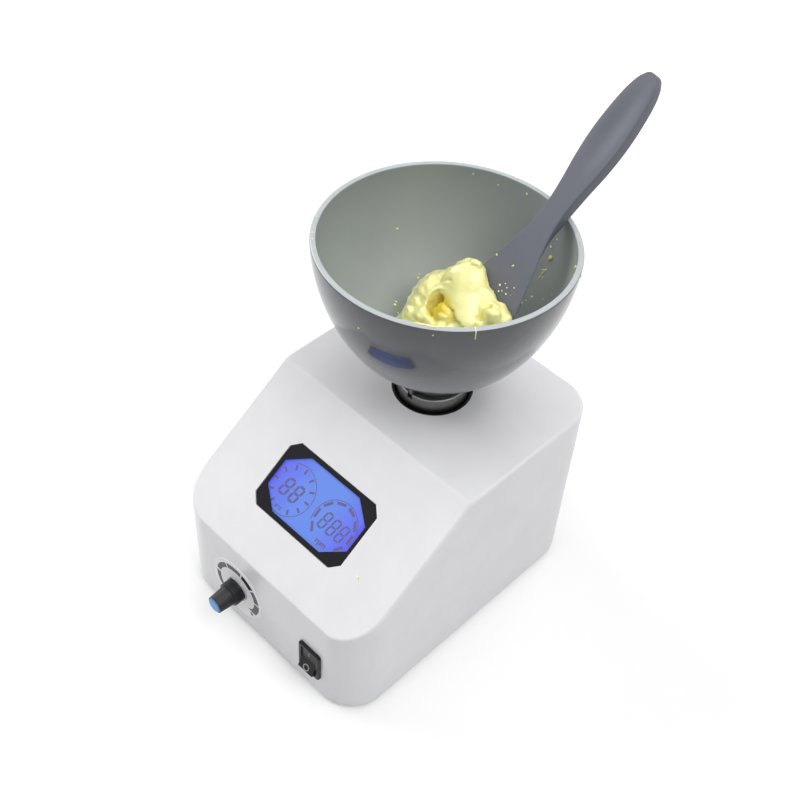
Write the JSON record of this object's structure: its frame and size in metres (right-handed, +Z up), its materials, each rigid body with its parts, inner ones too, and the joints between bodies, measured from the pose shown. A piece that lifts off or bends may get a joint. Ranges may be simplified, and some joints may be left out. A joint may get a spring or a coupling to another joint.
{
  "type": "dental impression mixer",
  "caption": "Benchtop dental impression mixer: a flexible bowl turned by a motor on a wedge-shaped housing, with a mixing spatula, display, speed knob and switch.",
  "frame": {"origin": "centre of the whole part's outline seen from above, on the surface that its feet stand on", "axes": "+Z up along the spindle, -Y to the front face with the knob and the switch, +X to the right as seen from the front"},
  "size_m": [0.133, 0.2365, 0.2706],
  "materials": {
    "housing_white": "gloss",
    "plate_steel": "brushed",
    "foot_rubber": "matt",
    "fastener_steel": "satin",
    "chassis_steel": "brushed",
    "bearing_cast": "cast",
    "bearing_steel": "polished",
    "spindle_steel": "ground",
    "pulley_metal": "turned",
    "belt_rubber": "matt",
    "cup_metal": "satin",
    "ring_black": "matt",
    "motor_metal": "satin",
    "cap_plastic": "matt",
    "terminal_brass": "plain",
    "bowl_rubber": "satin",
    "paste_yellow": "moist",
    "spatula_grey": "satin",
    "bezel_black": "gloss",
    "display_glass": "clear",
    "display_blue": "lit",
    "circuit_green": "satin",
    "dial_white": "satin",
    "pot_metal": "plain",
    "nut_metal": "plain",
    "knob_black": "satin",
    "cap_blue": "satin",
    "switch_black": "satin",
    "inlet_black": "satin",
    "core_steel": "laminated",
    "coil_wrap": "tape",
    "sink_metal": "extruded",
    "capacitor_sleeve": "gloss",
    "relay_blue": "gloss",
    "block_green": "satin"
  },
  "bodies": {
    "housing": {"housing_shell": "housing_white", "base_plate": "plate_steel", "rubber_feet": "foot_rubber", "foot_screws": "fastener_steel", "housing_screws": "fastener_steel", "chassis_bridge": "chassis_steel", "chassis_screws": "fastener_steel", "chassis_nuts": "fastener_steel", "bearing_housing": "bearing_cast", "flange_screws": "fastener_steel", "bearing_outer_rings": "bearing_steel", "drive_belt": "belt_rubber", "splash_ring": "ring_black", "motor_can": "motor_metal", "motor_end_cap": "cap_plastic", "motor_tags": "terminal_brass", "motor_screws": "fastener_steel", "display_bezel": "bezel_black", "display_glass": "display_glass", "display_backlight": "display_blue", "display_board": "circuit_green", "display_screws": "fastener_steel", "dial_plate": "dial_white", "speed_potentiometer": "pot_metal", "pot_washer": "nut_metal", "pot_nut": "nut_metal", "switch_body": "switch_black", "switch_blades": "terminal_brass", "mains_inlet": "inlet_black", "inlet_pins": "terminal_brass", "inlet_screws": "fastener_steel", "inlet_nuts": "fastener_steel", "transformer_core": "core_steel", "transformer_coil": "coil_wrap", "transformer_strap": "plate_steel", "control_board": "circuit_green", "heat_sink": "sink_metal", "capacitors": "capacitor_sleeve", "motor_relay": "relay_blue", "terminal_block": "block_green", "board_standoffs": "fastener_steel", "board_screws": "fastener_steel", "strap_screws": "fastener_steel"},
    "rotor": {"spindle": "spindle_steel", "bearing_inner_rings": "bearing_steel", "spindle_circlip": "fastener_steel", "spindle_pulley": "pulley_metal", "drive_cup": "cup_metal", "cup_grub_screw": "fastener_steel"},
    "motor_rotor": {"motor_shaft": "spindle_steel", "motor_pulley": "pulley_metal"},
    "bowl": {"bowl": "bowl_rubber", "impression_paste": "paste_yellow"},
    "spatula": {"spatula": "spatula_grey"},
    "knob": {"speed_knob": "knob_black", "knob_cap": "cap_blue", "pot_shaft": "pot_metal"},
    "rocker": {"switch_rocker": "switch_black"}
  },
  "joints": [
    {"name": "bowl_spin", "type": "hinge", "parent": "housing", "child": "rotor", "pos_m": [0, 0.015, 0.09], "axis": [0, 0, 1], "continuous": true},
    {"name": "motor_spin", "type": "hinge", "parent": "housing", "child": "motor_rotor", "pos_m": [-0.038, -0.0146, 0.09], "axis": [0, 0, 1], "continuous": true},
    {"name": "bowl_lift", "type": "slide", "parent": "rotor", "child": "bowl", "axis": [0, 0, 1], "range_m": [0, 0.05]},
    {"name": "spatula_draw", "type": "slide", "parent": "bowl", "child": "spatula", "axis": [0.1104, 0.6197, 0.7771], "range_m": [0, 0.12]},
    {"name": "speed_turn", "type": "hinge", "parent": "housing", "child": "knob", "pos_m": [-0.0198, -0.1026, 0.0281], "axis": [0, 1, 0], "range_deg": [-150, 150]},
    {"name": "rocker_tilt", "type": "hinge", "parent": "housing", "child": "rocker", "pos_m": [0.0367, -0.1016, 0.026], "axis": [1, 0, 0], "range_deg": [0, 24]}
  ],
  "couplings": [
    {"joint": "motor_spin", "follows": "bowl_spin", "ratio": 3}
  ]
}
